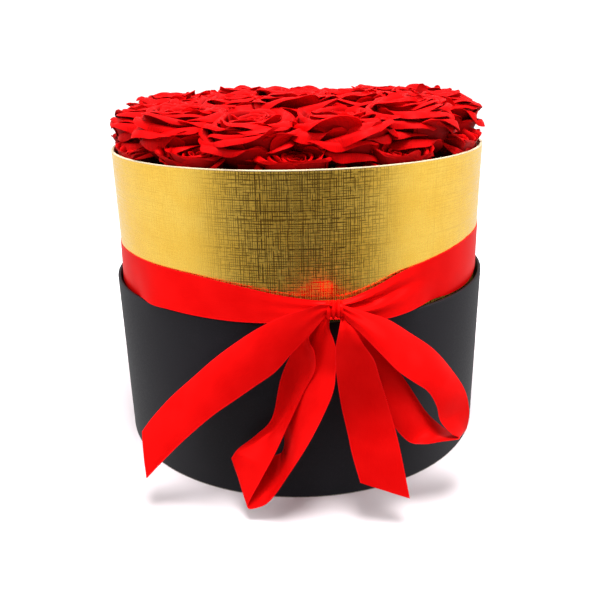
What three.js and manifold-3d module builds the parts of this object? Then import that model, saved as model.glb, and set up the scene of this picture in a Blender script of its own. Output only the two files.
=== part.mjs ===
// A round two-part flower box: a black card base, a taller gold card collar standing in it, a satin
// ribbon tied in a bow round the collar, and a lift-out insert of floral foam that holds rose heads.
// Millimetres, +Z up. The origin is the centre of the base's underside and the bow faces -Y.
import * as THREE from 'three';
import { mergeVertices } from 'three/addons/utils/BufferGeometryUtils.js';
import Module from 'manifold-3d';

// Driving dimensions
const BASE_RADIUS = 125; // outside of the black base
const BASE_HEIGHT = 112;
const BASE_WALL = 2;
const FLOOR_THICKNESS = 2;
const COLLAR_RADIUS = 120.5; // outside of the gold collar
const COLLAR_WALL = 1.6;
const RIM_HEIGHT = 194; // top of the collar above the table
const GAP = 0.3; // between pieces that touch
const EDGE_ROUND = 0.5; // softened cut edges of the card tubes
const RIBBON_THICKNESS = 0.8;
const FOAM_TOP = 158;
const FOAM_CLEARANCE = 0.9; // between the foam and the collar, so that the insert lifts out
const STEM_RADIUS = 2;
const STEM_END = 140; // height of the lower end of every stem, inside the foam
const KNOT_HALF_SIZE = [6, 5.2, 6.1];
const KNOT_CENTRE = [19.2, -134, 122.4];
const ROUND_SEGMENTS = 96;
const HEAD_SEGMENTS = 10;
const HOLE_SEGMENTS = 8;
const LOOP_STEPS = 48; // pieces along each loop of the bow
const TAIL_STEPS = 18;

// The two layers of roses: rings of equal spacing, with the height of their tops and the head radius
const UPPER_RINGS = [
  { name: 'rose_centre', count: 1, ring: 0, top: 222, radius: 21, phase: 0 },
  { name: 'rose_inner', count: 6, ring: 43, top: 221, radius: 21, phase: 0 },
  { name: 'rose_outer', count: 12, ring: 86, top: 218, radius: 21, phase: 15 },
];
const RIM_RING = { name: 'rose_rim', count: 12, ring: 102, top: 198, radius: 15, phase: 0 };

const COLLAR_INNER = COLLAR_RADIUS - COLLAR_WALL;
const COLLAR_FOOT = FLOOR_THICKNESS + GAP;
const FOAM_RADIUS = COLLAR_INNER - FOAM_CLEARANCE;
const FOAM_FOOT = FLOOR_THICKNESS + GAP;

const material = (name, color, roughness, metalness) =>
  new THREE.MeshStandardMaterial({ name, color, roughness, metalness });
const MATERIALS = {
  blackCard: () => material('black_card', 0x242427, 0.75, 0),
  greyBoard: () => material('grey_board', 0x8d857a, 0.9, 0),
  goldCard: () => material('gold_card', 0xe0b040, 0.35, 0.9),
  satin: () => material('satin', 0xe00812, 0.35, 0),
  foam: () => material('floral_foam', 0x35582f, 0.95, 0),
  petal: () => material('rose_petal', 0xb00612, 0.7, 0),
};

function mesh(name, geometry, kind) {
  const made = new THREE.Mesh(geometry, MATERIALS[kind]());
  made.name = name;
  return made;
}

// A solid of revolution about Z from [radius, height] pairs, given so that its faces point out
function turned(profile, segments) {
  const points = profile.map(([radius, height]) => new THREE.Vector2(radius, height));
  return new THREE.LatheGeometry(points, segments).rotateX(Math.PI / 2);
}

// A card tube whose two cut edges are slightly rounded
function cardTube(outer, wall, foot, top) {
  const inner = outer - wall;
  const e = EDGE_ROUND;
  return turned(
    [
      [inner, foot],
      [outer, foot],
      [outer, top - e],
      [outer - e, top],
      [inner + e, top],
      [inner, top - e],
      [inner, foot],
    ],
    ROUND_SEGMENTS,
  );
}

function disc(radius, foot, top) {
  return turned([[0, foot], [radius, foot], [radius, top], [0, top]], ROUND_SEGMENTS);
}

// Conversions between three.js geometry and manifold-3d solids
const wasm = await Module();
wasm.setup();

function toSolid(geometry) {
  const bare = new THREE.BufferGeometry();
  const flat = geometry.index ? geometry.toNonIndexed() : geometry;
  bare.setAttribute('position', flat.getAttribute('position').clone());
  const merged = mergeVertices(bare, 1e-4);
  return new wasm.Manifold(
    new wasm.Mesh({
      numProp: 3,
      vertProperties: new Float32Array(merged.attributes.position.array),
      triVerts: new Uint32Array(merged.index.array),
    }),
  );
}

function toGeometry(solid) {
  const { vertProperties, triVerts } = solid.getMesh();
  const geometry = new THREE.BufferGeometry();
  geometry.setAttribute('position', new THREE.BufferAttribute(vertProperties, 3));
  geometry.setIndex(new THREE.BufferAttribute(triVerts, 1));
  const faceted = geometry.toNonIndexed();
  faceted.computeVertexNormals();
  return faceted;
}

// A ribbon: a thin box whose length follows two smooth edges, given as pairs of points [back, front]
function ribbon(stations, steps) {
  const edges = [0, 1].map(
    (side) => new THREE.CatmullRomCurve3(stations.map((pair) => new THREE.Vector3(...pair[side]))),
  );
  const frames = [];
  for (let i = 0; i <= steps; i += 1) {
    const [back, front] = edges.map((edge) => edge.getPoint(i / steps));
    const along = edges[0].getTangent(i / steps).add(edges[1].getTangent(i / steps));
    const across = new THREE.Vector3().subVectors(front, back);
    frames.push({ back, front, normal: along.cross(across).normalize() });
  }
  const geometry = new THREE.BoxGeometry(1, 1, steps, 1, 1, steps);
  const position = geometry.getAttribute('position');
  const point = new THREE.Vector3();
  for (let i = 0; i < position.count; i += 1) {
    const { back, front, normal } = frames[Math.round(position.getZ(i) + steps / 2)];
    point.lerpVectors(back, front, position.getX(i) + 0.5);
    point.addScaledVector(normal, position.getY(i) * RIBBON_THICKNESS);
    position.setXYZ(i, point.x, point.y, point.z);
  }
  geometry.computeVertexNormals();
  return geometry;
}

// The ribbon round the collar. Its lower edge tucks behind the rim of the base on the left, lies on
// the collar at the back and right, and steps over the rim towards the knot. Each row is the angle
// from the front in degrees (positive to the right), then radius and height of both edges.
const BAND_EDGES = [
  { angle: 0, upper: [122.9, 125.6], lower: [127.8, 112.8] },
  { angle: 8, upper: [123.6, 124.8], lower: [128.2, 113.4] },
  { angle: 18, upper: [122.6, 128.2], lower: [127.6, 111.6] },
  { angle: 28, upper: [121.4, 134.8], lower: [127.2, 112] },
  { angle: 33, upper: [121.2, 136.6], lower: [125.4, 113.6] },
  { angle: 40, upper: [121, 138.2], lower: [122.2, 113.4] },
  { angle: 48, upper: [121, 140], lower: [121.4, 113.6] },
  { angle: 75, upper: [121, 142.4], lower: [121.2, 116.6] },
  { angle: 180, upper: [121, 139], lower: [121.2, 113.6] },
  { angle: 290, upper: [121, 135.4], lower: [121.4, 113.2] },
  { angle: 308, upper: [121, 136], lower: [122, 113.4] },
  { angle: 316, upper: [121.2, 135.8], lower: [126.4, 113.6] },
  { angle: 328, upper: [121.4, 135.2], lower: [127.2, 113.2] },
  { angle: 345, upper: [122, 131.4], lower: [127.4, 112.8] },
  { angle: 360, upper: [122.9, 125.6], lower: [127.8, 112.8] },
];

// The two edges of the band at an angle, each as [radius, height]
function bandEdges(angle) {
  const next = BAND_EDGES.findIndex((row, index) => index > 0 && row.angle >= angle);
  const from = BAND_EDGES[next - 1];
  const to = BAND_EDGES[next];
  const share = (angle - from.angle) / (to.angle - from.angle);
  const mix = (a, b) => a.map((value, k) => THREE.MathUtils.lerp(value, b[k], share));
  return { upper: mix(from.upper, to.upper), lower: mix(from.lower, to.lower) };
}

// A unit-square ring, whose every point is then moved out to the band's edges at its angle
function band(segments) {
  const geometry = turned([[1, 0], [2, 0], [2, 1], [1, 1], [1, 0]], segments);
  const position = geometry.getAttribute('position');
  for (let i = 0; i < position.count; i += 1) {
    const outwards = Math.hypot(position.getX(i), position.getY(i)) - 1;
    const turn = Math.atan2(position.getX(i), -position.getY(i));
    const step = Math.round((turn * segments) / (2 * Math.PI) + segments) % segments;
    const { upper, lower } = bandEdges((360 * step) / segments);
    const up = position.getZ(i);
    const radius = THREE.MathUtils.lerp(lower[0], upper[0], up) + outwards * RIBBON_THICKNESS;
    const height = THREE.MathUtils.lerp(lower[1], upper[1], up);
    const angle = (2 * Math.PI * step) / segments;
    position.setXYZ(i, radius * Math.sin(angle), -radius * Math.cos(angle), height);
  }
  geometry.computeVertexNormals();
  return geometry;
}

// Bow pieces, each a list of [back edge, front edge] points from the knot outwards
const LOOP_RIGHT = [
  [[26.5, -133, 125], [26.5, -139, 119]],
  [[34.5, -133, 121], [30.5, -140.5, 113]],
  [[47.5, -127, 113.8], [40.5, -141, 102]],
  [[60, -121, 103.5], [51, -138.5, 89.5]],
  [[73, -118, 93], [60.5, -137, 81.5]],
  [[82.5, -116, 82], [69, -134, 74]],
  [[93, -116, 66.5], [74.5, -132, 64]],
  [[97, -115.5, 53], [77.5, -131, 53.5]],
  [[97, -115.5, 42], [84, -130.5, 45.5]],
  [[94, -117, 37], [88.5, -131.5, 42.5]],
  [[86, -118.5, 39.5], [76.5, -136, 43.5]],
  [[78, -122, 47], [67, -138, 43.5]],
  [[69, -126, 58.5], [57.5, -137, 46]],
  [[56, -128, 80], [44.5, -134.8, 63]],
  [[41, -129, 99.5], [30, -134.4, 86.5]],
  [[34, -130, 107], [28.5, -133.6, 103]],
  [[29, -130.5, 113], [27, -132.8, 111]],
];
const LOOP_LEFT = [
  [[7, -130.5, 116.5], [8.5, -134, 116.5]],
  [[0, -130, 106], [4, -137, 109]],
  [[-7, -129.5, 93], [7, -139, 101]],
  [[-12, -130, 80], [7, -138, 90]],
  [[-17, -131, 58], [1, -137, 77]],
  [[-26, -130, 47], [-7, -139, 60]],
  [[-36, -128.5, 38], [-16, -142, 41]],
  [[-40, -128.5, 33], [-24, -144, 26]],
  [[-40.5, -129, 30], [-32, -145.5, 9.5]],
  [[-30, -129, 30], [-24, -146.5, 10.5]],
  [[-17, -129, 32], [-18, -148.5, 17]],
  [[-10, -129, 36], [-10, -151, 31]],
  [[-7, -129, 55], [4, -149, 54]],
  [[1, -129, 79], [15.5, -145.5, 78]],
  [[5, -129, 92], [17, -141.5, 88]],
  [[8, -129.5, 104], [18, -137, 101]],
  [[11, -130.5, 112], [15, -133, 112.5]],
];
const TAIL_LEFT = [
  [[11, -138, 128], [10.5, -137, 121]],
  [[2, -138, 125.2], [6, -140.5, 113.5]],
  [[-9, -136, 121], [-4.5, -140.5, 102]],
  [[-21, -133, 114], [-14, -140.5, 91]],
  [[-33, -129.5, 105], [-25.5, -139.5, 82]],
  [[-47, -126.5, 93.5], [-36.5, -138.5, 73.5]],
  [[-60, -123.5, 81], [-49.5, -137.5, 63.5]],
  [[-74.5, -121, 67], [-64, -136, 50]],
  [[-86, -119.5, 54], [-77.5, -135, 36]],
  [[-93.5, -119, 44], [-90, -134, 22]],
];
const TAIL_RIGHT = [
  [[20, -140.5, 115.5], [25, -139, 115.5]],
  [[19, -142.5, 111.5], [28, -140.5, 112]],
  [[18, -142.5, 104.5], [33, -141.5, 105.5]],
  [[18, -141, 94.5], [38.5, -140.5, 96.5]],
  [[19.5, -138.5, 80.5], [42.5, -138, 83]],
  [[21.5, -137, 67], [47, -137, 68]],
  [[24.5, -139.5, 53], [51, -140, 53.5]],
  [[27, -144, 41], [54, -145, 40]],
  [[31, -149.5, 27], [58, -153, 18.5]],
];

// The knot is a short fat wrap, wider than deep, standing just off the ribbon behind it
function knot() {
  return new THREE.SphereGeometry(1, 12, 8).scale(...KNOT_HALF_SIZE).translate(...KNOT_CENTRE);
}

// A rose head on its stem, turned about Z: stem, cup of petals, then the open top with a hollow centre
function rose(top, radius) {
  const r = radius;
  return turned(
    [
      [0, STEM_END],
      [STEM_RADIUS, STEM_END],
      [STEM_RADIUS, top - 1.7 * r],
      [0.42 * r, top - 1.55 * r],
      [0.72 * r, top - 1.05 * r],
      [0.93 * r, top - 0.6 * r],
      [r, top - 0.3 * r],
      [0.8 * r, top - 0.06 * r],
      [0.4 * r, top],
      [0, top - 0.08 * r],
    ],
    HEAD_SEGMENTS,
  );
}

function ringPlaces({ name, count, ring, phase }) {
  const places = [];
  for (let i = 0; i < count; i += 1) {
    const angle = THREE.MathUtils.degToRad(phase + (360 * i) / count);
    const label = count > 1 ? `${name}_${String(i + 1).padStart(2, '0')}` : name;
    places.push({ label, x: ring * Math.sin(angle), y: -ring * Math.cos(angle) });
  }
  return places;
}

// The foam block, with a hole round every stem
function foam(stems) {
  const radius = STEM_RADIUS + GAP;
  const depth = FOAM_TOP - STEM_END + GAP;
  const hole = new THREE.CylinderGeometry(radius, radius, 2 * depth, HOLE_SEGMENTS).rotateX(Math.PI / 2);
  let block = toSolid(disc(FOAM_RADIUS, FOAM_FOOT, FOAM_TOP));
  for (const { x, y } of stems) {
    block = block.subtract(toSolid(hole.clone().translate(x, y, FOAM_TOP)));
  }
  return toGeometry(block);
}

const box = new THREE.Group();
box.add(mesh('base_tube', cardTube(BASE_RADIUS, BASE_WALL, 0, BASE_HEIGHT), 'blackCard'));
box.add(mesh('base_floor', disc(BASE_RADIUS - BASE_WALL - GAP, 0, FLOOR_THICKNESS), 'greyBoard'));
box.add(mesh('collar_tube', cardTube(COLLAR_RADIUS, COLLAR_WALL, COLLAR_FOOT, RIM_HEIGHT), 'goldCard'));
box.add(mesh('ribbon_band', band(ROUND_SEGMENTS), 'satin'));
box.add(mesh('bow_knot', knot(), 'satin'));
box.add(mesh('bow_loop_left', ribbon(LOOP_LEFT, LOOP_STEPS), 'satin'));
box.add(mesh('bow_loop_right', ribbon(LOOP_RIGHT, LOOP_STEPS), 'satin'));
box.add(mesh('bow_tail_left', ribbon(TAIL_LEFT, TAIL_STEPS), 'satin'));
box.add(mesh('bow_tail_right', ribbon(TAIL_RIGHT, TAIL_STEPS), 'satin'));

const insert = new THREE.Group();
const stems = [];
for (const ring of [...UPPER_RINGS, RIM_RING]) {
  for (const place of ringPlaces(ring)) {
    const head = mesh(place.label, rose(ring.top, ring.radius), 'petal');
    head.position.set(place.x, place.y, 0);
    insert.add(head);
    stems.push(place);
  }
}
insert.add(mesh('foam_block', foam(stems), 'foam'));

const group = new THREE.Group();
group.add(box, insert);

export default group;
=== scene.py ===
"""Looks of the flower box: card tubes, a satin ribbon tied in a bow, and a lift-out insert of roses in foam.

Everything is in metres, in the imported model's frame: +Z up, the bow faces -Y, the base stands on z = 0.
"""
import math

import bpy
import numpy as np
from mathutils import Matrix, Vector, noise


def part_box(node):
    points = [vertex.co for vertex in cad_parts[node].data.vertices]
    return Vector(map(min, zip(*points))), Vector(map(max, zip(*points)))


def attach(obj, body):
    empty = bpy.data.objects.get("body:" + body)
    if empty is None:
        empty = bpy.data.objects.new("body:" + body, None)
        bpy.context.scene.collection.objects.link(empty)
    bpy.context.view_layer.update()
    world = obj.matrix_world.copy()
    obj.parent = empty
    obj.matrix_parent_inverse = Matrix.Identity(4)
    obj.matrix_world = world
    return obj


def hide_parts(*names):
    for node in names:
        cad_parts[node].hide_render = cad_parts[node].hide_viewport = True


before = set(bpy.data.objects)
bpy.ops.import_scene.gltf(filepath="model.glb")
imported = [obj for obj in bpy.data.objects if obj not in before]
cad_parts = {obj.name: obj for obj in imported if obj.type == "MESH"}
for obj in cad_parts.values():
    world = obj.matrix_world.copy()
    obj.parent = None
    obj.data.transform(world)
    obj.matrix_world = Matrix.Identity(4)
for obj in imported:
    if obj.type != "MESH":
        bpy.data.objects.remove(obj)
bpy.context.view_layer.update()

MM = 0.001
TAU = 2 * math.pi

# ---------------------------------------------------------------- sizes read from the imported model
BASE_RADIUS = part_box("base_tube")[1].x
BASE_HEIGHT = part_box("base_tube")[1].z
COLLAR_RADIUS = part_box("collar_tube")[1].x
COLLAR_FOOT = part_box("collar_tube")[0].z
RIM_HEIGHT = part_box("collar_tube")[1].z
BASE_WALL = 2 * MM
COLLAR_WALL = 1.6 * MM
RIBBON_WIDTH = 25 * MM
RIBBON_THICKNESS = 0.35 * MM
ROSES = sorted(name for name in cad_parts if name.startswith("rose_"))
RIM, BORE = RIM_HEIGHT / MM, (COLLAR_RADIUS - COLLAR_WALL) / MM  # the collar's opening, in mm


# ---------------------------------------------------------------- mesh helpers
def smooth_curve(points, count):
    """count points on a Catmull-Rom curve through points, evenly spaced in the points' own parameter."""
    p = np.asarray(points, float)
    p = np.vstack([2 * p[0] - p[1], p, 2 * p[-1] - p[-2]])
    t = np.linspace(0, len(p) - 3, count)
    i = np.minimum(t.astype(int), len(p) - 4)
    f = (t - i)[:, None]
    a, b, c, d = p[i], p[i + 1], p[i + 2], p[i + 3]
    return 0.5 * (2 * b + (c - a) * f + (2 * a - 5 * b + 4 * c - d) * f**2 + (3 * b - a - 3 * c + d) * f**3)


def distance_along(curve):
    """Each point's distance from the curve's start."""
    return np.concatenate([[0], np.cumsum(np.linalg.norm(np.diff(curve, axis=0), axis=1))])


def even_edges(back, front, count, steps_per_station=40):
    """Two edge curves resampled together, so that the steps along their middle line are equal."""
    dense = steps_per_station * len(back)
    back_curve, front_curve = smooth_curve(back, dense), smooth_curve(front, dense)
    run = distance_along((back_curve + front_curve) / 2)
    at = np.linspace(0, run[-1], count)
    pick = lambda curve: np.stack([np.interp(at, run, curve[:, i]) for i in range(3)], axis=1)
    return pick(back_curve), pick(front_curve), at


def polar(radius, angle, height):
    """Points from their distance to the Z axis, their angle from the front (-Y) and their height."""
    parts = np.broadcast_arrays(radius * np.sin(angle), -radius * np.cos(angle), height)
    return np.stack(parts, axis=-1)


def flat_map(across, along):
    """Flat coordinates in mm for both faces of a strip, from the places of its columns and rows."""
    u, v = np.meshgrid(across, along)
    uv = np.stack([u, v], axis=-1).reshape(-1, 2)
    return np.concatenate([uv, uv])


def squeezed(points, scale):
    """The points with x and y scaled, each by its own factor."""
    return points * np.stack([scale, scale, np.ones_like(scale)], axis=1)


def grid_normals(p, closed=False):
    """Unit normals of a grid of points [along, across, xyz]."""
    padded = np.concatenate([p[-1:], p, p[:1]]) if closed else p
    along = np.gradient(padded, axis=0)
    along = along[1:-1] if closed else along
    across = np.gradient(p, axis=1)
    n = np.cross(along, across)
    return n / np.maximum(np.linalg.norm(n, axis=2, keepdims=True), 1e-12)


def thick_grid(p, thickness, closed=False):
    """Vertices and quads of a thin closed solid around a grid of points.

    closed joins the grid's last row to its first.
    """
    rows, cols = p.shape[:2]
    n = grid_normals(p, closed) * thickness / 2
    verts = np.concatenate([(p + n).reshape(-1, 3), (p - n).reshape(-1, 3)])
    under = rows * cols
    index = np.arange(under).reshape(rows, cols)
    if closed:
        index = np.vstack([index, index[:1]])
    a, b, c, d = index[:-1, :-1], index[1:, :-1], index[1:, 1:], index[:-1, 1:]
    top = np.stack([a, b, c, d], axis=-1).reshape(-1, 4)
    faces = [top, (top + under)[:, ::-1]]
    rims = [index[:, 0][::-1], index[:, -1]]
    if not closed:
        rims += [index[0], index[-1][::-1]]
    for rim in rims:
        faces.append(np.stack([rim[:-1], rim[1:], rim[1:] + under, rim[:-1] + under], axis=1)[:, ::-1])
    return verts, np.concatenate(faces)


def new_object(name, verts, faces, materials, face_material=None, uv=None, sharp=50):
    """A mesh object from arrays, smooth-shaded, with hard edges above the sharp angle in degrees."""
    mesh = bpy.data.meshes.new(name)
    mesh.from_pydata([tuple(v) for v in verts], [], [tuple(int(i) for i in f) for f in faces])
    for material in materials:
        mesh.materials.append(material)
    if face_material is not None:
        mesh.polygons.foreach_set("material_index", np.asarray(face_material, np.int32))
    if uv is not None:
        layer = mesh.uv_layers.new(name="flat")
        corner = np.zeros(len(mesh.loops), np.int32)
        mesh.loops.foreach_get("vertex_index", corner)
        layer.data.foreach_set("uv", np.asarray(uv, np.float32)[corner].ravel())
    mesh.polygons.foreach_set("use_smooth", np.ones(len(mesh.polygons), bool))
    mesh.set_sharp_from_angle(angle=math.radians(sharp))
    mesh.update()
    made = bpy.data.objects.new(name, mesh)
    bpy.context.scene.collection.objects.link(made)
    return made


# ---------------------------------------------------------------- materials
class Tree:
    """A small wrapper that builds a node tree in few lines."""

    def __init__(self, tree):
        self.tree = tree

    def feed(self, socket, value):
        if isinstance(value, bpy.types.NodeSocket):
            self.tree.links.new(value, socket)
        else:
            socket.default_value = value

    def add(self, kind, inputs=None, **settings):
        node = self.tree.nodes.new(kind)
        for key, value in settings.items():
            setattr(node, key, value)
        for key, value in (inputs or {}).items():
            self.feed(node.inputs[key], value)
        return node

    def maths(self, operation, a, b=0.0):
        return self.add("ShaderNodeMath", {0: a, 1: b}, operation=operation).outputs[0]

    def span(self, value, low, high, to_low=0.0, to_high=1.0):
        """A smooth step from to_low at low to to_high at high."""
        values = {"Value": value, "From Min": low, "From Max": high, "To Min": to_low, "To Max": to_high}
        return self.add("ShaderNodeMapRange", values, interpolation_type="SMOOTHSTEP").outputs[0]

    def axes(self, vector):
        return self.add("ShaderNodeSeparateXYZ", {0: vector}).outputs


class Nodes(Tree):
    """A material's nodes, with a Principled shader to feed."""

    def __init__(self, name):
        self.material = bpy.data.materials.new(name)
        self.material.use_nodes = True
        super().__init__(self.material.node_tree)
        self.shader = self.tree.nodes["Principled BSDF"]

    def set(self, **values):
        for key, value in values.items():
            self.shader.inputs[key.replace("_", " ")].default_value = value

    def scaled(self, coordinate, scale):
        return self.add("ShaderNodeMapping", {"Vector": coordinate, "Scale": scale}).outputs[0]

    def noise(self, vector, scale, detail=2.0, roughness=0.5, distortion=0.0):
        values = {"Vector": vector, "Scale": scale, "Detail": detail, "Roughness": roughness}
        values["Distortion"] = distortion
        return self.add("ShaderNodeTexNoise", values).outputs[0]

    def blend(self, factor, a, b):
        return self.add("ShaderNodeMix", {0: factor, 6: a, 7: b}, data_type="RGBA").outputs[2]

    def bump(self, height, strength, distance):
        node = self.add("ShaderNodeBump", {"Height": height, "Strength": strength, "Distance": distance})
        self.tree.links.new(node.outputs[0], self.shader.inputs["Normal"])

    def colour(self, value):
        self.feed(self.shader.inputs["Base Color"], value)

    def roughness(self, value):
        self.feed(self.shader.inputs["Roughness"], value)

    def place(self):
        return self.add("ShaderNodeTexCoord").outputs["Object"]

    def flat(self):
        return self.add("ShaderNodeUVMap", uv_map="flat").outputs[0]


def rgb(red, green, blue):
    return (red, green, blue, 1.0)


def black_paper():
    """Matte black wrapping paper with a fine felt-like tooth and faint cloudy wear."""
    m = Nodes("black_paper")
    place = m.place()
    fibre = m.noise(place, 900, 4, 0.7)
    cloud = m.noise(place, 14, 3)
    base = m.blend(m.span(cloud, 0.3, 0.7), rgb(0.0065, 0.0055, 0.0080), rgb(0.0085, 0.0072, 0.0105))
    m.colour(m.blend(m.span(fibre, 0.45, 0.75), base, rgb(0.014, 0.012, 0.016)))
    m.roughness(m.span(fibre, 0.3, 0.7, 0.5, 0.62))
    m.set(Specular_IOR_Level=0.16)
    m.bump(fibre, 0.25, 0.12 * MM)
    return m.material


def grey_board():
    """Raw grey chipboard, seen at cut edges and on the floor disc."""
    m = Nodes("grey_board")
    place = m.place()
    fleck = m.noise(place, 700, 5, 0.7)
    ply = m.noise(m.scaled(place, (60, 60, 2500)), 1, 2)
    tone = m.blend(m.span(fleck, 0.35, 0.7), rgb(0.24, 0.215, 0.18), rgb(0.42, 0.39, 0.34))
    m.colour(m.blend(m.span(ply, 0.45, 0.6, 0, 0.3), tone, rgb(0.17, 0.15, 0.13)))
    m.roughness(0.9)
    m.set(Specular_IOR_Level=0.2)
    m.bump(fleck, 0.4, 0.15 * MM)
    return m.material


def cream_card():
    """The white paper lining and the cut edge of the gold collar."""
    m = Nodes("cream_card")
    place = m.place()
    fibre = m.noise(place, 1100, 4, 0.65)
    m.colour(m.blend(m.span(fibre, 0.35, 0.7), rgb(0.62, 0.50, 0.32), rgb(0.72, 0.61, 0.43)))
    m.roughness(0.75)
    m.set(Specular_IOR_Level=0.3)
    m.bump(fibre, 0.3, 0.08 * MM)
    return m.material


LINE_APART, PETAL_APART = 7.31, 3.77  # steps between noise places, so that neighbours aren't alike


def hatch_lines(m, flat, axis, pitch, width, run):
    """Broken, unevenly spaced straight lines: 1 on a line, 0 beside it.

    axis is the one that the lines cross, pitch and run are in mm, and width is a share of the pitch.
    """
    across, down = m.axes(flat)[axis], m.axes(flat)[1 - axis]
    values = {"W": m.maths("MULTIPLY", across, 0.5 / pitch), "Scale": 1.0}
    drift = m.add("ShaderNodeTexNoise", values, noise_dimensions="1D").outputs[0]
    turns = m.maths("ADD", m.maths("DIVIDE", across, pitch), m.maths("MULTIPLY", drift, 0.9))
    wave = m.maths("ABSOLUTE", m.maths("SUBTRACT", m.maths("FRACT", turns), 0.5))
    line = m.span(wave, width, width * 0.35)
    own_place = m.maths("MULTIPLY", m.maths("FLOOR", turns), LINE_APART)
    stroke = m.add("ShaderNodeCombineXYZ", {0: own_place, 1: m.maths("DIVIDE", down, run)}).outputs[0]
    broken = m.span(m.noise(stroke, 1.0, 1), 0.32, 0.56)
    return m.maths("MULTIPLY", line, broken)


# The foil's hatch: axis that the lines cross, pitch in mm, width as a share of it, length of a stroke in mm
HATCHES = [(0, 1.25, 0.22, 9.0), (1, 1.35, 0.20, 8.0), (0, 2.1, 0.09, 7.0), (1, 2.3, 0.08, 6.0)]


def gold_foil():
    """Gold foil embossed with an uneven linen hatch: satin between the lines, glossy on them, and a darker
    brown on them as painted shade.
    """
    m = Nodes("gold_foil")
    flat = m.flat()
    lines = 0.0
    for hatch in HATCHES:
        lines = m.maths("MAXIMUM", hatch_lines(m, flat, *hatch), lines)
    cloud = m.noise(flat, 0.05, 2)
    gold = m.blend(m.span(cloud, 0.3, 0.7), rgb(0.95, 0.60, 0.085), rgb(0.97, 0.645, 0.11))
    # The lines are blended towards a darker brown: painted shade in the embossed grooves.
    m.colour(m.blend(m.maths("MULTIPLY", lines, 0.28), gold, rgb(0.66, 0.33, 0.04)))
    m.roughness(m.span(lines, 0, 1, 0.48, 0.12))
    m.set(Metallic=1.0)
    m.bump(m.maths("SUBTRACT", 1.0, lines), 0.12, 0.05 * MM)
    return m.material


def satin():
    """Red satin: a smooth face with fine warp threads along its length and a tight woven edge."""
    m = Nodes("red_satin")
    flat = m.flat()
    across = m.axes(flat)[0]
    warp = m.noise(m.scaled(flat, (9.0, 0.18, 1)), 1, 3, 0.6)
    weft = m.noise(m.scaled(flat, (0.5, 14.0, 1)), 1, 2)
    cloud = m.noise(flat, 0.05, 1)
    half_width = RIBBON_WIDTH / MM / 2
    edge = m.span(m.maths("ABSOLUTE", m.maths("SUBTRACT", across, half_width)), 11.6, 12.0)
    base = m.blend(m.span(cloud, 0.3, 0.7), rgb(0.67, 0.0020, 0.0020), rgb(0.74, 0.0035, 0.0033))
    thread = m.blend(m.span(warp, 0.35, 0.65, 0, 0.5), base, rgb(0.80, 0.0050, 0.0048))
    m.colour(m.blend(m.maths("MULTIPLY", edge, 0.5), thread, rgb(0.90, 0.006, 0.008)))
    m.roughness(m.span(warp, 0.3, 0.7, 0.28, 0.38))
    m.set(Metallic=0.3, IOR=1.1, Specular_IOR_Level=0.6, Anisotropic=0.4)
    m.shader.inputs["Specular Tint"].default_value = rgb(1.0, 0.12, 0.10)
    height = m.maths("ADD", m.maths("MULTIPLY", warp, 0.6), m.maths("MULTIPLY", weft, 0.4))
    m.bump(m.maths("ADD", height, m.maths("MULTIPLY", edge, 0.8)), 0.2, 0.08 * MM)
    return m.material


def petal():
    """Velvety rose petal: dark at the base as painted shade deep inside the rose, brighter at the lip, with
    fine veins running to the edge.

    The flat coordinate along the petal is its number plus the share of its height.
    """
    m = Nodes("rose_petal")
    flat = m.flat()
    along = m.axes(flat)[1]
    up, number = m.maths("FRACT", along), m.maths("FLOOR", along)
    own_place = m.add("ShaderNodeCombineXYZ", {0: m.maths("MULTIPLY", number, PETAL_APART)}).outputs[0]
    veins = m.noise(m.scaled(flat, (2.2, 2.5, 1)), 1, 3, 0.6, 0.4)
    mottle = m.noise(m.place(), 160, 3)
    tone = m.noise(own_place, 1, 0)
    lip = m.blend(m.span(tone, 0.3, 0.7), rgb(0.50, 0.0, 0.0008), rgb(0.76, 0.0005, 0.001))
    # Painted shade: the colour darkens towards the petal's base, deep inside the rose.
    body = m.blend(m.span(up, 0.30, 0.90), rgb(0.09, 0.0, 0.0005), lip)
    m.colour(m.blend(m.span(veins, 0.4, 0.7, 0, 0.45), body, rgb(0.24, 0.0, 0.001)))
    m.roughness(m.span(mottle, 0.3, 0.7, 0.5, 0.68))
    m.set(IOR=1.2, Specular_IOR_Level=0.2, Sheen_Weight=0.006, Sheen_Roughness=0.45)
    m.shader.inputs["Sheen Tint"].default_value = rgb(1.0, 0.10, 0.08)
    height = m.maths("ADD", m.maths("MULTIPLY", veins, 0.7), m.maths("MULTIPLY", mottle, 0.5))
    m.bump(height, 0.35, 0.25 * MM)
    return m.material


def stem_green():
    """Dried green stem and sepals."""
    m = Nodes("stem_green")
    place = m.place()
    streak = m.noise(m.scaled(place, (900, 900, 60)), 1, 3)
    m.colour(m.blend(m.span(streak, 0.3, 0.7), rgb(0.055, 0.085, 0.022), rgb(0.12, 0.16, 0.05)))
    m.roughness(0.7)
    m.bump(streak, 0.4, 0.2 * MM)
    return m.material


def floral_foam():
    """Dry floral foam: dark green, matte, with fine open cells whose pits are painted darker as painted
    shade.
    """
    m = Nodes("floral_foam")
    place = m.place()
    cells = m.add("ShaderNodeTexVoronoi", {"Vector": place, "Scale": 900.0}).outputs["Distance"]
    cloud = m.noise(place, 40, 3)
    tone = m.blend(m.span(cloud, 0.3, 0.7), rgb(0.022, 0.055, 0.020), rgb(0.035, 0.080, 0.030))
    # Painted shade: each cell's pit is darker than the foam round it.
    m.colour(m.blend(m.span(cells, 0.1, 0.6), rgb(0.010, 0.026, 0.009), tone))
    m.roughness(0.95)
    m.set(Specular_IOR_Level=0.1)
    m.bump(cells, 0.6, 0.4 * MM)
    return m.material


BLACK_PAPER = black_paper()
GREY_BOARD = grey_board()
CREAM_CARD = cream_card()
GOLD_FOIL = gold_foil()
SATIN = satin()
PETAL = petal()
STEM = stem_green()
FOAM = floral_foam()


def dress(piece, node, body):
    """The piece stands in for a CAD node, which is hidden, and moves with its body."""
    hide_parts(node)
    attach(piece, body)
    return piece


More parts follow.
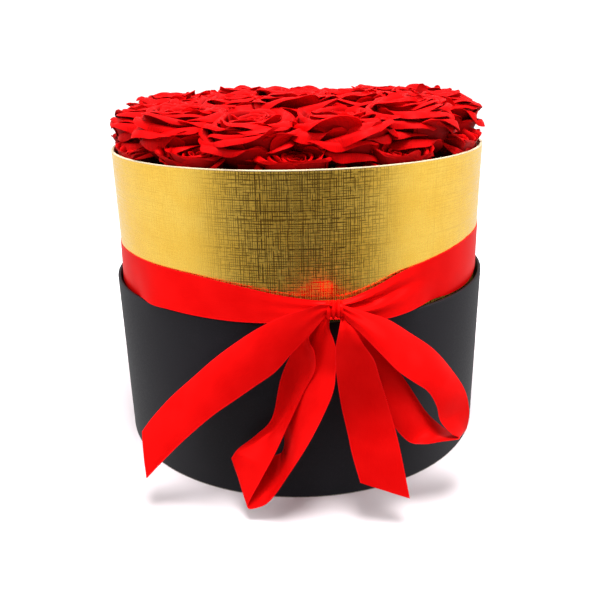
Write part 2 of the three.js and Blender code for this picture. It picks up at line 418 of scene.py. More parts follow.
# ---------------------------------------------------------------- card tubes
SEAM_RISE = 0.002  # radians over which a wrap seam rises to its full step
SEAM_REACH = 0.05 * MM  # how far in from the outermost radius the wrapping lies


def card_tube(name, profile, materials, seam_width, seam_step, segments=288):
    """A turned tube from [(radius, height, material)], closed on itself, with a wrap seam at the back.

    The outermost points are raised by seam_step over seam_width radians, where the wrapping overlaps.
    """
    outer = max(point[0] for point in profile)
    angles = np.linspace(0, TAU, segments, endpoint=False)
    start, end = math.pi - seam_width / 2, math.pi + seam_width / 2
    edges = [start, start + SEAM_RISE, end]
    angles = np.sort(np.concatenate([angles, edges]))
    on_seam = (angles >= edges[1]) & (angles <= edges[2])
    verts, uv = [], []
    for radius, height, _ in profile:
        lift = np.where(on_seam & (abs(radius - outer) < SEAM_REACH), seam_step, 0.0)
        verts.append(polar(radius + lift, angles, height))
        uv.append(np.stack([angles * outer / MM, np.full_like(angles, height / MM)], axis=1))
    count, rows = len(angles), len(profile)
    faces, kinds = [], []
    for row in range(rows):
        after = (row + 1) % rows
        for i in range(count):
            j = (i + 1) % count
            faces.append((row * count + i, row * count + j, after * count + j, after * count + i))
            kinds.append(profile[row][2])
    return new_object(name, np.concatenate(verts), faces, materials, kinds, np.concatenate(uv), sharp=38)


def rounded(centre_r, centre_z, radius, start, end, kind, steps=4):
    """Points on an arc of a tube's cut edge, in degrees from outwards, counted upwards."""
    points = []
    for i in range(steps + 1):
        a = math.radians(start + (end - start) * i / steps)
        points.append((centre_r + radius * math.cos(a), centre_z + radius * math.sin(a), kind))
    return points


def make_base_tube():
    """Black paper turned in over the top edge; the raw board shows as a thin line at the foot."""
    outer, inner = BASE_RADIUS, BASE_RADIUS - BASE_WALL
    edge, foot = 0.7 * MM, 0.7 * MM
    profile = [(inner, 0.0, 1), (outer - 0.35 * MM, 0.0, 1), (outer - 0.12 * MM, foot, 0)]
    profile += [(outer, foot + 0.15 * MM, 0), (outer, BASE_HEIGHT * 0.5, 0)]
    profile += rounded(outer - edge, BASE_HEIGHT - edge, edge, 0, 90, 0)
    profile += rounded(inner + edge, BASE_HEIGHT - edge, edge, 90, 180, 0)
    materials = [BLACK_PAPER, GREY_BOARD]
    tube = card_tube("base_tube_wrapped", profile, materials, seam_width=0.09, seam_step=0.22 * MM)
    return dress(tube, "base_tube", "box")


def make_collar_tube():
    """Gold foil outside, cream paper inside and on the cut rim."""
    outer, inner = COLLAR_RADIUS, COLLAR_RADIUS - COLLAR_WALL
    edge, bare = 0.3 * MM, 0.55 * MM
    profile = [(inner, COLLAR_FOOT, 1), (outer, COLLAR_FOOT, 0), (outer, (COLLAR_FOOT + RIM_HEIGHT) / 2, 0)]
    profile += [(outer, RIM_HEIGHT - bare, 1)]
    profile += rounded(outer - edge, RIM_HEIGHT - edge, edge, 0, 90, 1, 3)
    profile += rounded(inner + edge, RIM_HEIGHT - edge, edge, 90, 180, 1, 3)
    materials = [GOLD_FOIL, CREAM_CARD]
    tube = card_tube("collar_tube_foiled", profile, materials, seam_width=0.085, seam_step=0.15 * MM)
    return dress(tube, "collar_tube", "box")


# ---------------------------------------------------------------- ribbon
# Each bow piece: [back edge, front edge] points in millimetres from the knot outwards
LOOP_RIGHT = [
    [(17.5, -136, 126.5), (17.5, -136, 121.5)], [(21, -138, 127.4), (21, -138, 122.8)],
    [(26.5, -136.5, 125), (25, -139.5, 118.3)], [(34.5, -133, 121), (30.5, -140.5, 113)],
    [(47.5, -127, 113.8), (40.5, -141, 102)], [(60, -121, 103.5), (51, -138.5, 89.5)],
    [(73, -118, 93), (60.5, -137, 81.5)], [(82.5, -116, 82), (69, -134, 74)],
    [(93, -116, 66.5), (74.5, -132, 64)], [(97, -115.5, 53), (77.5, -131, 53.5)],
    [(97, -115.5, 42), (84, -130.5, 45.5)], [(94, -117, 37), (88.5, -131.5, 42.5)],
    [(86, -118.5, 39.5), (76.5, -136, 43.5)], [(78, -122, 47), (67, -138, 43.5)],
    [(69, -126, 58.5), (57.5, -137.5, 46)], [(56, -128, 80), (44.5, -135.8, 63)],
    [(41, -129, 99.5), (30, -134.4, 86.5)], [(31, -131, 109.5), (27.5, -133.6, 104)],
    [(25.5, -132, 116), (24.5, -134, 114)], [(19.5, -133, 121), (19, -134, 120)],
]
LOOP_LEFT = [
    [(15, -131.5, 121), (15, -134, 120.5)], [(7, -130.5, 116.5), (8.5, -134, 116.5)],
    [(0, -130, 106), (4, -137, 109)], [(-7, -129.5, 93), (7, -139, 101)],
    [(-12, -130, 80), (7, -138, 90)], [(-17, -131, 58), (1, -137, 77)],
    [(-26, -130, 47), (-7, -139, 60)], [(-36, -128.5, 38), (-16, -142, 41)],
    [(-40, -128.5, 33), (-24, -144, 26)], [(-40.5, -129, 30), (-32, -145.5, 9.5)],
    [(-30, -129, 30), (-24, -146.5, 10.5)], [(-17, -129, 32), (-18, -148.5, 17)],
    [(-11, -129, 37), (-10, -151, 31)], [(-10, -129, 57), (4, -149, 54)],
    [(-5, -128.5, 80), (15.5, -145.5, 78)], [(-1, -128.5, 93), (18, -141.5, 90)],
    [(3, -129, 104), (18.3, -140.5, 102.5)], [(7, -130, 111), (16.8, -139, 108.6)],
    [(10, -131.5, 116), (14.8, -136.5, 114)], [(14, -133, 121), (15.5, -134, 120.5)],
]
TAIL_LEFT = [
    [(18, -137, 126.5), (18, -136.5, 121)], [(14.5, -138.5, 128), (13.5, -138, 122)],
    [(10, -139, 128.2), (11, -139.5, 119.5)], [(2, -138, 125.2), (6, -140.5, 113.5)],
    [(-9, -136, 121), (-4.5, -140.5, 102)], [(-21, -133, 114), (-14, -140.5, 91)],
    [(-33, -129.5, 105), (-25.5, -139.5, 82)], [(-47, -126.5, 93.5), (-36.5, -138.5, 73.5)],
    [(-60, -123.5, 81), (-49.5, -137.5, 63.5)], [(-74.5, -121, 67), (-64, -136, 50)],
    [(-86, -119.5, 54), (-77.5, -135, 36)], [(-93.5, -119, 44), (-90, -134, 22)],
]
TAIL_RIGHT = [
    [(18.5, -134.5, 122.5), (21.5, -134.5, 122.5)], [(20.8, -137.5, 119.8), (24, -137, 119.2)],
    [(20, -141, 116), (26, -139, 117)], [(19, -142.5, 111.5), (29, -140.5, 112.5)],
    [(18, -142.5, 104.5), (33, -141.5, 105.5)], [(18, -141, 94.5), (38.5, -140.5, 96.5)],
    [(19.5, -138.5, 80.5), (42.5, -138, 83)], [(21.5, -137, 67), (47, -137, 68)],
    [(24.5, -139.5, 53), (51, -140, 53.5)], [(27, -144, 41), (54, -145, 40)],
    [(31, -149.5, 27), (58, -153, 18.5)],
]


def ribbon_piece(name, stations, gathers, bow, both_ends=False, step=1.1 * MM, rows=19):
    """A satin strip between two edges, and its length.

    gathers has the height in mm, the number and the reach in mm of the pleats by the knot. bow lists
    (share of the length, height in mm) of the strip's rise across its width.
    """
    back = [np.array(pair[0]) * MM for pair in stations]
    front = [np.array(pair[1]) * MM for pair in stations]
    length = even_edges(back, front, 50)[2][-1]
    back, front, run = even_edges(back, front, int(length / step) + 2)
    across = np.linspace(0, 1, rows)
    points = back[:, None] + (front - back)[:, None] * across[None, :, None]
    height, pleats, reach = gathers
    near = np.exp(-run / (reach * MM))
    if both_ends:
        near = near + np.exp(-(run[-1] - run) / (reach * MM))
    wave = np.cos(TAU * pleats * across) * height * MM
    rise = np.interp(run / run[-1], [at for at, _ in bow], [high for _, high in bow]) * MM
    crown = 4 * across * (1 - across)
    shift = near[:, None] * wave[None, :] + (rise * (1 - near))[:, None] * crown[None, :]
    points = points + grid_normals(points) * shift[..., None]
    verts, faces = thick_grid(points, RIBBON_THICKNESS)
    uv = flat_map(across * RIBBON_WIDTH / MM, run / MM)
    return new_object(name, verts, faces, [SATIN], uv=uv), run[-1]


# The band round the collar: angle from the front in degrees, then the radius and height in mm of its
# upper edge and of its lower edge
BAND_ROWS = np.array([
    (-180, 120.75, 139.0, 121.2, 112.6), (-110, 120.75, 136.5, 121.4, 110.6),
    (-75, 120.75, 134.8, 121.5, 109.6), (-60, 120.75, 136.0, 121.6, 110.0),
    (-54, 120.75, 136.0, 122.2, 111.6), (-49, 120.75, 136.0, 124.2, 112.7),
    (-44, 121.0, 135.8, 126.2, 112.6), (-36, 121.1, 135.6, 127.0, 113.4),
    (-28, 121.3, 134.8, 127.2, 113.3), (-15, 121.9, 131.4, 127.4, 113.0),
    (-6, 122.6, 127.9, 127.8, 113.4), (0, 123.2, 125.8, 128.2, 113.6),
    (5, 124.3, 124.6, 128.6, 115.2), (11, 124.3, 124.2, 128.6, 114.8),
    (18, 122.8, 127.9, 128.0, 111.6), (28, 121.6, 134.9, 127.0, 112.2),
    (33, 120.9, 136.6, 124.6, 112.7), (38, 120.75, 137.9, 122.0, 113.0),
    (48, 120.75, 140.1, 121.4, 111.9), (60, 120.75, 142.0, 121.2, 111.5),
    (75, 120.75, 142.4, 121.0, 114.5), (120, 120.75, 142.0, 121.0, 115.0),
    (180, 120.75, 139.0, 121.2, 112.6),
])
BAND_LEAST_RADIUS = 120.72  # mm, just clear of the collar
BAND_MAP_RADIUS = 121  # mm
KNOT_ANGLE = 8.3  # degrees to the right of the front
BAND_PLEATS = (0.9, 2.6, 5.0)  # height in mm, waves across the width, reach in degrees
# The fold to the right of the knot: places across the width, their spread, and how far they rise in mm
BAND_FOLD = [(0.63, 0.10, -3.6), (0.38, 0.14, 2.2), (0.82, 0.10, 1.8)]
BAND_FOLD_START, BAND_FOLD_REACH = 5.0, 15.0  # degrees from the knot


def band_value(angle, column):
    """A smooth reading of one column of the band's rows, by cubic pieces through neighbouring rows."""
    x, y = BAND_ROWS[:, 0], BAND_ROWS[:, column]
    slope = np.gradient(y, x)
    slope[0] = slope[-1] = (slope[0] + slope[-1]) / 2
    i = np.clip(np.searchsorted(x, angle, side="right") - 1, 0, len(x) - 2)
    h = x[i + 1] - x[i]
    t = (angle - x[i]) / h
    a = (1 + 2 * t) * (1 - t) ** 2 * y[i] + t * (1 - t) ** 2 * h * slope[i]
    return a + t**2 * (3 - 2 * t) * y[i + 1] + t**2 * (t - 1) * h * slope[i + 1]


def make_band(count=520, rows=21):
    """The ribbon round the collar, gathered into pleats where it runs under the knot."""
    angle = np.linspace(-180, 180, count, endpoint=False)
    across = np.linspace(0, 1, rows)
    top_radius, top, foot_radius, foot = (band_value(angle, c)[:, None] for c in (1, 2, 3, 4))
    away = angle - KNOT_ANGLE
    pleat_height, pleats, reach = BAND_PLEATS
    near = np.exp(-np.abs(away) / reach)[:, None]
    radius = foot_radius + (top_radius - foot_radius) * across
    radius = radius + near * pleat_height * np.cos(TAU * pleats * across)[None, :]
    fold = sum(rise * np.exp(-(((across - centre) / spread) ** 2)) for centre, spread, rise in BAND_FOLD)
    fading = np.exp(-((np.clip(away, 0, None) / BAND_FOLD_REACH) ** 2))
    right = np.clip(away / BAND_FOLD_START, 0, 1) * fading
    radius = np.maximum(radius + right[:, None] * fold[None, :], BAND_LEAST_RADIUS)
    turn = np.radians(angle)
    points = polar(radius, turn[:, None], foot + (top - foot) * across) * MM
    verts, faces = thick_grid(points, RIBBON_THICKNESS, closed=True)
    uv = flat_map(across * RIBBON_WIDTH / MM, turn * BAND_MAP_RADIUS)
    return new_object("ribbon_band_satin", verts, faces, [SATIN], uv=uv)


# The knot's cross-section: place along the knot and height above its mean surface, in mm
KNOT_PLEATS = [
    (-1.2, -2.2), (-3.4, -2.3), (-5.0, -1.9), (-5.8, -0.8), (-5.2, 0.4), (-4.0, 0.7), (-3.0, -0.4),
    (-2.2, -0.5), (-1.2, 0.7), (-0.2, 0.8), (0.6, -0.4), (1.4, -0.4), (2.4, 0.6), (3.4, 0.7),
    (4.2, -0.2), (5.0, 0.3), (5.9, -0.3), (5.6, -1.5), (4.2, -2.2), (2.2, -2.3), (0.6, -2.2),
]
KNOT_SQUEEZE, KNOT_RELIEF = 0.72, 1.15  # factors on the cross-section's length and height
KNOT_DEPTH, KNOT_HEIGHT = 5.2, 4.2  # half sizes of the wrap, in mm
KNOT_SHIFT = (-1.5, -0.4, 1.1)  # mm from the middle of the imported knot
KNOT_WAIST = 0.06  # how much narrower it is halfway along, as a share
KNOT_SLANT = 0.12  # mm up for each mm to the right
KNOT_MAP_LENGTH = 36  # mm


def make_knot(count=72, rows=64):
    """A short wrap round the crossing: 25 mm of ribbon gathered in pleats, with both edges tucked under."""
    low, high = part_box("bow_knot")
    centre = [middle + shift for middle, shift in zip((low + high) / 2 / MM, KNOT_SHIFT)]
    section = smooth_curve([(x, h, 0) for x, h in KNOT_PLEATS], 400)
    run = distance_along(section)
    at = np.linspace(0, run[-1], rows)
    along = KNOT_SQUEEZE * np.interp(at, run, section[:, 0])[None, :]
    lift = KNOT_RELIEF * np.interp(at, run, section[:, 1])[None, :]
    turn = np.linspace(0, TAU, count, endpoint=False)[:, None]
    waist = 1 - KNOT_WAIST * (1 - (along / 6) ** 2)
    relief = lift * (1 + 0.25 * np.sin(2 * turn + 0.6 * along))
    x = centre[0] + along * (1 + 0.05 * np.sin(turn))
    y = centre[1] - (KNOT_DEPTH * waist + relief) * np.cos(turn)
    z = centre[2] + (KNOT_HEIGHT * waist + relief) * np.sin(turn) + KNOT_SLANT * along
    verts, faces = thick_grid(np.stack([x, y, z], axis=-1) * MM, RIBBON_THICKNESS, closed=True)
    uv = flat_map(at, np.linspace(0, KNOT_MAP_LENGTH, count))
    return new_object("bow_knot_satin", verts, faces, [SATIN], uv=uv)


# Each bow piece: node, stations, pleats by the knot, its rise across the width, whether the knot holds
# both of its ends, and how it is held
BOW_PIECES = [
    ("bow_loop_left", LOOP_LEFT, (0.7, 2.0, 9.0),
     [(0, 0), (0.15, -3.2), (0.33, -3.2), (0.42, 0), (0.6, 0.5), (0.8, -1.2), (1, 0)], True, "folded"),
    ("bow_loop_right", LOOP_RIGHT, (0.7, 2.0, 10.0),
     [(0, -1.5), (0.35, -2.4), (0.45, 0), (0.55, 0), (0.7, 2.0), (1, 0.5)], True, "folded"),
    ("bow_tail_left", TAIL_LEFT, (0.7, 2.0, 9.0),
     [(0, 0.5), (0.4, 1.6), (1, 0.6)], False, "hung"),
    ("bow_tail_right", TAIL_RIGHT, (0.7, 1.5, 9.0),
     [(0, 0.5), (0.3, -1.4), (0.7, 0.8), (1, 0.6)], False, "hung"),
]


def make_ribbon():
    """The band, the knot, and the bow's loops and tails."""
    band = dress(make_band(), "ribbon_band", "box")
    knot = dress(make_knot(), "bow_knot", "box")
    for node, stations, gathers, bow, both_ends, held in BOW_PIECES:
        piece, length = ribbon_piece(node + "_satin", stations, gathers, bow, both_ends)
        dress(piece, node, "box")


# ---------------------------------------------------------------- roses
PROFILE_POINTS = 60
TIP_WIDTH, TIP_OUT, TIP_DOWN = 0.22, 0.02, 0.015  # of the small point on a petal's lip, as shares


def petal_grid(rng, radius, lip, base, half_width, curl, droop, ruffle, phase, rows=11, cols=15):
    """One petal as a grid of points in mm about the rose's axis. lip and base are heights above the top."""
    tall = lip - base
    profile = smooth_curve([
        (1.2, base), (0.62 * radius, base + 0.22 * tall), (0.93 * radius, base + 0.62 * tall),
        (radius, lip - 0.06 * tall), (radius + 0.62 * curl, lip + 0.05 * curl), (radius + curl, lip - droop),
    ], PROFILE_POINTS)
    t = np.linspace(0, 1, rows)[:, None]
    u = np.linspace(-1, 1, cols)[None, :]
    # The lip is round, so the petal's sides don't reach as far along the profile as its middle
    reach = t * (1 - 0.34 * np.abs(u) ** 2.4 * t**1.5)
    r, z = (np.interp(reach, np.linspace(0, 1, PROFILE_POINTS), profile[:, i]) for i in (0, 1))
    # Narrow at the base, full from 0.62 of the way up, and a little narrower again at the lip
    shape = 0.32 + 0.68 * np.sin(0.5 * math.pi * np.minimum(1, t / 0.62))
    shape = shape * (1 - 0.16 * np.clip(2.6 * t - 1.6, 0, 1) ** 2)
    angle = phase + u * half_width * shape / np.maximum(r, 0.55 * radius)
    p1, p2, p3 = rng.uniform(0, TAU, 3)
    roll, cup = rng.uniform(-0.16, 0.16), rng.uniform(-0.02, 0.14)
    # Ruffles grow towards the lip. roll lowers one side and raises the other, cup drops both
    wave = t**3 * ruffle
    tip = np.exp(-((u / TIP_WIDTH) ** 2)) * t**7
    r = r + wave * (0.7 * np.sin(2.3 * u + p1) + 0.34 * np.sin(6.1 * u + p2))
    r = r + half_width * (0.05 * u**4 * t**2 + TIP_OUT * tip)
    z = z + wave * (0.8 * np.sin(2.0 * u + p3) + 0.34 * np.sin(5.3 * u + p1))
    z = z + half_width * (roll * u * t**2 - cup * u**2 * t - TIP_DOWN * tip)
    return polar(r, angle, z), u * half_width, t


# Petals in the ring, its radius, lip height above the top, half width, curl outwards, droop, ruffle
OPEN_RINGS = [
    (3, 1.9, -1.6, 3.2, 0.4, 0.0, 0.2),
    (3, 3.8, -0.9, 6.0, 0.8, 0.1, 0.4),
    (3, 6.0, -0.3, 9.0, 1.3, 0.2, 0.6),
    (3, 8.2, 0.2, 12.0, 1.9, 0.3, 1.0),
    (4, 10.4, 0.5, 13.5, 2.6, 0.6, 1.3),
    (4, 12.8, 0.3, 16.0, 3.4, 1.0, 1.7),
    (4, 15.2, -0.4, 18.0, 4.2, 1.5, 2.0),
    (4, 17.6, -1.8, 19.5, 4.8, 2.2, 2.3),
    (4, 19.6, -4.0, 21.0, 5.0, 2.8, 2.5),
    (5, 21.0, -7.0, 20.0, 5.0, 3.4, 2.5),
    (4, 21.6, -11.5, 21.0, 4.6, 3.8, 2.6),
    (3, 21.0, -17.5, 20.0, 3.6, 3.6, 2.6),
]
TIGHT_RINGS = [
    (2, 2.0, -4.6, 3.2, 0.2, 0.0, 0.2),
    (3, 3.8, -4.0, 5.5, 0.5, 0.1, 0.4),
    (3, 6.2, -3.0, 8.5, 1.0, 0.2, 0.7),
    (3, 9.2, -1.6, 12.0, 1.6, 0.3, 1.0),
    (3, 12.4, -0.2, 15.5, 2.2, 0.6, 1.3),
    (4, 15.0, 0.4, 17.0, 2.8, 1.0, 1.6),
    (4, 16.4, -4.5, 16.5, 3.4, 2.4, 1.6),
]
PETAL_THICKNESS = 0.38  # mm
RING_TURN = 0.9  # radians from one ring's first petal to the next ring's
PETAL_DROP = 0.12  # mm from one petal of a ring down to the next
BASE_DEPTH = 1.62  # how far a head's base is below its top, in head radii
STEM_SIDES = 10
SEPALS = 5
SEPAL_THICKNESS = 0.5  # mm


def sepal_grid(turn, base, rows=7, cols=3):
    """One narrow sepal that rises outwards from under the head."""
    t = np.linspace(0, 1, rows)[:, None]
    u = np.linspace(-1, 1, cols)[None, :]
    r = 3.0 + 9.0 * t
    z = base + 1.0 + 3.5 * t + 6.0 * t**2 + 0.5 * u**2
    return polar(r, turn + u * 2.4 * (1 - t) ** 0.8 / r, z)


def stem_and_sepals(rng, base, foot):
    """A thin stem from foot up to the head's base, with its sepals, as arrays in mm."""
    ring = np.linspace(0, TAU, STEM_SIDES, endpoint=False)
    levels = [(foot, 1.9), ((foot + base) / 2, 1.9), (base - 1.5, 2.1), (base + 1.0, 4.2), (base + 2.2, 0.6)]
    parts = [polar(radius, ring, height) for height, radius in levels]
    start = len(levels) * STEM_SIDES
    faces = [tuple(range(STEM_SIDES - 1, -1, -1)), tuple(range(start - STEM_SIDES, start))]
    for row in range(0, start - STEM_SIDES, STEM_SIDES):
        for i in range(STEM_SIDES):
            a, b = row + i, row + (i + 1) % STEM_SIDES
            faces.append((a, b, b + STEM_SIDES, a + STEM_SIDES))
    for k in range(SEPALS):
        turn = k * TAU / SEPALS + rng.uniform(-0.2, 0.2)
        verts, quads = thick_grid(sepal_grid(turn, base), SEPAL_THICKNESS)
        faces += [tuple(quad + start) for quad in quads]
        parts.append(verts)
        start += len(verts)
    return np.concatenate(parts), faces


def inside_collar(points, clearance=1.0, lean_out=0.55, softness=2.0):
    """Pushes petals in, softly, wherever they'd cross the collar. Above the rim they may lean out over it."""
    r = np.hypot(points[:, 0], points[:, 1])
    above = np.clip(points[:, 2] - RIM - 1.5, 0, 10)
    room = BORE - clearance + lean_out * above - r
    kept = (room + np.sqrt(room**2 + softness)) / 2
    return squeezed(points, (r + room - kept) / np.maximum(r, 1))


def rose_head(rng, rings, spread, base):
    """Every petal of a head, as vertices, quads and flat coordinates in mm."""
    verts, faces, uv = [], [], []
    start = number = 0
    phase = rng.uniform(0, TAU)
    for petals, radius, lip, half_width, curl, droop, ruffle in rings:
        phase += RING_TURN + rng.uniform(-0.2, 0.2)
        for k in range(petals):
            number += 1
            turn = phase + k * TAU / petals + rng.uniform(-0.22, 0.22)
            size = spread * (1 + rng.uniform(-0.08, 0.08))
            height = lip + rng.uniform(-0.7, 0.5) * (1 + radius / 12) - k * PETAL_DROP
            own_curl = curl * rng.uniform(0.8, 1.25)
            own_droop = droop * rng.uniform(0.6, 1.3)
            own_ruffle = ruffle * rng.uniform(0.7, 1.3)
            points, across, up = petal_grid(
                rng, radius * size, height, base, half_width * size, own_curl, own_droop, own_ruffle, turn)
            more, quads = thick_grid(points, PETAL_THICKNESS)
            parts = np.broadcast_arrays(across + 30 * number, np.clip(up, 0.001, 0.999) + number)
            flat = np.stack(parts, axis=-1).reshape(-1, 2)
            verts.append(more)
            uv += [flat, flat]
            faces.append(quads + start)
            start += len(more)
    return np.concatenate(verts), np.concatenate(faces), np.concatenate(uv)


def make_rose(name, rings, spread, tilt, turn, seed, out=0.0, lift=0.0):
    """A rose in place of a CAD head, on a stem: moved out and up in mm, and tilted about its base.

    tilt and turn are in radians, and turn is the direction in which it leans.
    """
    rng = np.random.default_rng(seed)
    low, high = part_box(name)
    centre = (low + high) / 2
    base = -BASE_DEPTH * (high.x - low.x) / 2 / MM
    head, quads, head_uv = rose_head(rng, rings, spread, base)
    stem, stem_faces = stem_and_sepals(rng, base, (low.z - high.z) / MM)
    lean = np.array(Matrix.Rotation(tilt, 3, Vector((math.cos(turn), math.sin(turn), 0))))
    pivot = np.array([0, 0, base])
    away = np.array([math.sin(turn) * out, -math.cos(turn) * out, lift])
    start = len(head)
    head = (head - pivot) @ lean.T + pivot + away
    faces = [tuple(quad) for quad in quads]
    faces += [tuple(i + start for i in face) for face in stem_faces]
    kinds = [0] * len(quads) + [1] * len(stem_faces)
    uv = np.concatenate([head_uv, np.zeros((len(stem), 2))])
    place = np.array([centre.x, centre.y, high.z]) / MM
    verts = inside_collar(np.concatenate([head, stem]) + place) * MM
    piece = new_object(name + "_bloom", verts, faces, [PETAL, STEM], kinds, uv, sharp=80)
    return dress(piece, name, "insert")


# Rings of petals, spread, tilt outwards in radians, shift outwards in mm and lift in mm of each kind of rose
RIM_ROSE = (TIGHT_RINGS, 1.2, math.radians(19), 0.0, 4.5)
OUTER_ROSE = (OPEN_RINGS, 1.14, math.radians(3), 3.0, 0.0)
INNER_ROSE = (OPEN_RINGS, 1.12, 0.0, 0.0, 1.5)
VARY_SEED = 500  # kept apart from the petals' own seeds
OUTER_RADIUS = 0.086  # of the outer roses' ring


def side_lift(x):
    """How many mm an outer rose at x metres stands higher: more to the right, and most at both sides."""
    return 8 * x - 0.2 + 3.5 * (abs(x) / OUTER_RADIUS) ** 4


def make_roses():
    """All the roses, each with its own random petals, lift and lean."""
    for seed, name in enumerate(ROSES):
        low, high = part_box(name)
        x, y = (low.x + high.x) / 2, (low.y + high.y) / 2
        outwards = math.atan2(y, x) + math.pi / 2
        vary = np.random.default_rng(VARY_SEED + seed)
        own_lift = vary.uniform(-0.5, 3.5)
        lean = math.radians(vary.uniform(-3, 4))
        kind = INNER_ROSE
        if name.startswith("rose_rim"):
            kind = RIM_ROSE
        elif name.startswith("rose_outer"):
            kind = OUTER_ROSE
            own_lift += side_lift(x)
        rings, spread, tilt, out, lift = kind
        make_rose(name, rings, spread, tilt + lean, outwards, seed, out=out, lift=lift + own_lift)


# ---------------------------------------------------------------- foam and floor disc
def turned_solid(name, rings, materials, relief, segments=360):
    """A solid turned about Z from rings of (radius, height, material), from below its middle to above it.

    relief takes the points in mm and returns them moved.
    """
    turn = np.linspace(0, TAU, segments, endpoint=False)
    verts = relief(np.concatenate([polar(radius, turn, height) for radius, height, _ in rings]))
    faces, kinds = [tuple(range(segments - 1, -1, -1))], [rings[0][2]]
    for row in range(len(rings) - 1):
        a, b = row * segments, (row + 1) * segments
        for i in range(segments):
            j = (i + 1) % segments
            faces.append((a + i, a + j, b + j, b + i))
            kinds.append(rings[row][2])
    faces.append(tuple(range(len(verts) - segments, len(verts))))
    kinds.append(rings[-1][2])
    return new_object(name, verts * MM, faces, materials, kinds, sharp=60)


TURN_IN = 14  # mm of paper turned in under the floor disc
DISC_BEVEL = 0.4  # mm


def make_base_floor():
    """The card disc: grey board, with the black wrapping paper turned in over the edge of its underside."""
    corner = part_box("base_floor")[1]
    top, radius = corner.z / MM, corner.x / MM
    paper_edge, flat_edge = radius - TURN_IN, radius - DISC_BEVEL
    rings = [(1.0, 0.25, 0), (paper_edge - 0.2, 0.25, 1), (paper_edge, 0.02, 1), (flat_edge, 0.0, 1)]
    rings += [(radius, DISC_BEVEL, 0), (radius, top - DISC_BEVEL, 0), (flat_edge, top, 0), (1.0, top, 0)]

    def relief(points):
        """The paper's inner edge is cut by hand, so it wanders a little."""
        r = np.hypot(points[:, 0], points[:, 1])
        turn = np.arctan2(points[:, 1], points[:, 0])
        wander = 0.5 * np.sin(5 * turn + 0.4) + 0.3 * np.sin(11 * turn + 2.0)
        at_edge = np.abs(r - paper_edge + 0.1) < 0.3
        return squeezed(points, 1 + np.where(at_edge, wander / r, 0.0))

    floor = turned_solid("base_floor_disc", rings, [GREY_BOARD, BLACK_PAPER], relief)
    dress(floor, "base_floor", "box")


FOAM_EDGE = 3.0  # mm, radius of the rounded top edge
STEM_HOLES = [(3.2, 2.9, 4), (0.7, 5.5, 2)]  # depth and radius in mm, and steepness
BRICK_JOINT = (3.0, 0.02, 0.9, 1.8)  # place in mm, slant, width and depth in mm


def foam_relief(points, radius, top, stems):
    """A crumbly skin, hollows round the stems, and the joint between the two bricks."""
    crumb = np.array([noise.noise(Vector(p) / 2.6) + 0.6 * noise.noise(Vector(p) / 0.9) for p in points])
    swell = np.array([noise.noise(Vector(p) / 23) for p in points])
    depth = 0.45 * np.clip(0.5 + crumb, 0, 2) + 0.35 * np.clip(0.5 + swell, 0, 1)
    on_top = points[:, 2] > top - 1.2
    for x, y in stems:
        away = np.hypot(points[:, 0] - x, points[:, 1] - y)
        hollow = sum(deep * np.exp(-((away / wide) ** power)) for deep, wide, power in STEM_HOLES)
        depth += np.where(on_top, hollow, 0)
    place, slant, wide, deep = BRICK_JOINT
    depth += deep * np.exp(-(((points[:, 0] - place - slant * points[:, 1]) / wide) ** 2))
    r = np.hypot(points[:, 0], points[:, 1])
    at_side = np.clip((r - radius + 2 * FOAM_EDGE) / (2 * FOAM_EDGE), 0, 1)
    inwards = np.where(on_top, 0.0, depth) * at_side / np.maximum(r, 1)
    moved = squeezed(points, 1 - inwards)
    moved[:, 2] -= np.where(on_top, depth, 0.0)
    return moved


def make_foam():
    """Two bricks of foam cut round, crushed a little where every stem goes in."""
    low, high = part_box("foam_block")
    foot, top, radius = low.z / MM, high.z / MM, high.x / MM
    # The top has close rings, so that the stems' hollows show
    rings = [(1.0, foot, 0)] + [(r, foot, 0) for r in np.linspace(20, radius - 1.5, 8)]
    rings += [(radius, z, 0) for z in np.linspace(foot + 1.5, top - FOAM_EDGE, 62)]
    for a in np.linspace(0.25, 1.25, 5):
        rings.append((radius + FOAM_EDGE * (math.cos(a) - 1), top + FOAM_EDGE * (math.sin(a) - 1), 0))
    rings += [(r, top, 0) for r in np.linspace(radius - FOAM_EDGE, 1.0, 76)]
    boxes = [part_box(name) for name in ROSES]
    stems = [((near.x + far.x) / 2 / MM, (near.y + far.y) / 2 / MM) for near, far in boxes]
    relief = lambda points: foam_relief(points, radius, top, stems)
    block = turned_solid("foam_block_cut", rings, [FOAM], relief)
    dress(block, "foam_block", "insert")


# ---------------------------------------------------------------- stage, light and camera
class WorldNodes(Tree):
    """The nodes of the studio surroundings."""

    def __init__(self):
        world = bpy.data.worlds.new("studio")
        world.use_nodes = True
        bpy.context.scene.world = world
        super().__init__(world.node_tree)
        self.tree.nodes.clear()

    def background(self, strength, colour=rgb(1.0, 1.0, 1.0)):
        return self.add("ShaderNodeBackground", {"Color": colour, "Strength": strength}).outputs[0]

    def mix(self, factor, a, b):
        return self.add("ShaderNodeMixShader", {0: factor, 1: a, 2: b}).outputs[0]


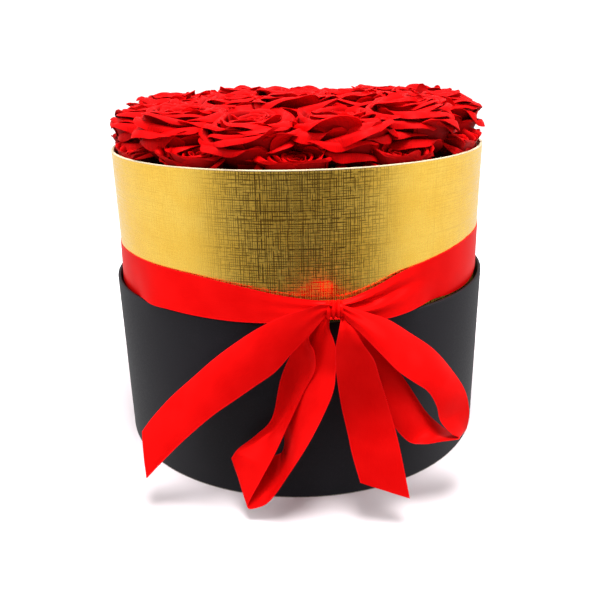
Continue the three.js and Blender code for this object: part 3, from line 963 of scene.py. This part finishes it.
def make_world():
    """White all round; reflections see a dark patch in front, as of a room behind the camera."""
    w = WorldNodes()
    # Directions: y is -1 straight in front of the box, z is 1 overhead and -1 below
    _, y, z = w.axes(w.add("ShaderNodeTexCoord").outputs["Generated"])
    rays = w.add("ShaderNodeLightPath").outputs
    in_front = w.span(y, -0.30, -0.90)
    at_eye_level = w.maths("MULTIPLY", w.span(z, 0.6, 0.2), w.span(z, -0.92, -0.65))
    room = w.background(0.085, rgb(1.0, 0.85, 0.95))
    mirrored = w.mix(w.maths("MULTIPLY", in_front, at_eye_level), w.background(1.0), room)
    sky = w.span(z, -0.1, 0.95, 0.34, 1.85)
    diffuse = w.background(w.maths("MULTIPLY", sky, w.span(y, -0.1, -0.95, 1.0, 0.10)))
    light = w.mix(rays["Is Glossy Ray"], diffuse, mirrored)
    surface = w.mix(rays["Is Camera Ray"], light, w.background(1.3))
    w.add("ShaderNodeOutputWorld", {"Surface": surface})


def make_floor(radius=40):
    """A plain pale floor, with a pinkish painted shade round the box. It isn't mirrored in the foil or the
    black paper.
    """
    bpy.ops.mesh.primitive_circle_add(vertices=128, radius=radius, fill_type="NGON")
    floor = bpy.context.object
    floor.name = "stage_floor"
    m = Nodes("stage_floor")
    seen = m.add("ShaderNodeLightPath").outputs["Is Camera Ray"]
    away = m.add("ShaderNodeVectorMath", {0: m.place()}, operation="LENGTH").outputs["Value"]
    # Painted shade: the floor that the camera sees is darker and pinker near the box.
    painted_shade_floor = m.blend(m.span(away, 0.15, 0.55), rgb(0.70, 0.64, 0.66), rgb(0.95, 0.93, 0.94))
    m.colour(m.blend(seen, rgb(0.42, 0.39, 0.40), painted_shade_floor))
    m.roughness(0.9)
    m.set(Specular_IOR_Level=0.1)
    floor.data.materials.append(m.material)
    floor.visible_glossy = False


LIGHT_SIZE = 0.6
LIGHT_TARGET = Vector((0, 0, 0.1))
LIGHTS = [("top", (0.05, -0.35, 1.5), 27), ("left", (-1.2, -0.5, 0.8), 6), ("right", (1.2, -0.5, 0.8), 6)]


def make_lights():
    """Soft round lights above the box and to its left and right, with their power in watts."""
    for name, place, power in LIGHTS:
        light = bpy.data.lights.new(name, "AREA")
        light.shape = "DISK"
        light.size = LIGHT_SIZE
        light.energy = power
        made = bpy.data.objects.new(name, light)
        made.location = place
        made.rotation_euler = (LIGHT_TARGET - Vector(place)).to_track_quat("-Z", "Y").to_euler()
        bpy.context.scene.collection.objects.link(made)


CAMERA_PLACE = (0, -0.4699, 0.2527)
CAMERA_PITCH, CAMERA_ROLL = math.radians(20.22), math.radians(-1.204)
CAMERA_SENSOR, CAMERA_LENS = 36, 41.35  # mm


def make_camera():
    """The photograph's angle of view: from in front, looking down a little, with a slight roll."""
    data = bpy.data.cameras.new("camera")
    data.sensor_width = CAMERA_SENSOR
    data.lens = CAMERA_LENS
    data.clip_start = 0.01
    camera = bpy.data.objects.new("camera", data)
    forward = Vector((0, math.cos(CAMERA_PITCH), -math.sin(CAMERA_PITCH)))
    right = Vector((1, 0, 0))
    up = right.cross(forward)
    x_axis = math.cos(CAMERA_ROLL) * right + math.sin(CAMERA_ROLL) * up
    y_axis = -math.sin(CAMERA_ROLL) * right + math.cos(CAMERA_ROLL) * up
    turned = Matrix((x_axis, y_axis, -forward)).transposed().to_4x4()
    camera.matrix_world = Matrix.Translation(CAMERA_PLACE) @ turned
    bpy.context.scene.collection.objects.link(camera)
    bpy.context.scene.camera = camera
    bpy.context.scene.view_settings.view_transform = "Standard"


make_camera()
make_world()
make_floor()
make_lights()
make_base_tube()
make_collar_tube()
make_ribbon()
make_roses()
make_foam()
make_base_floor()
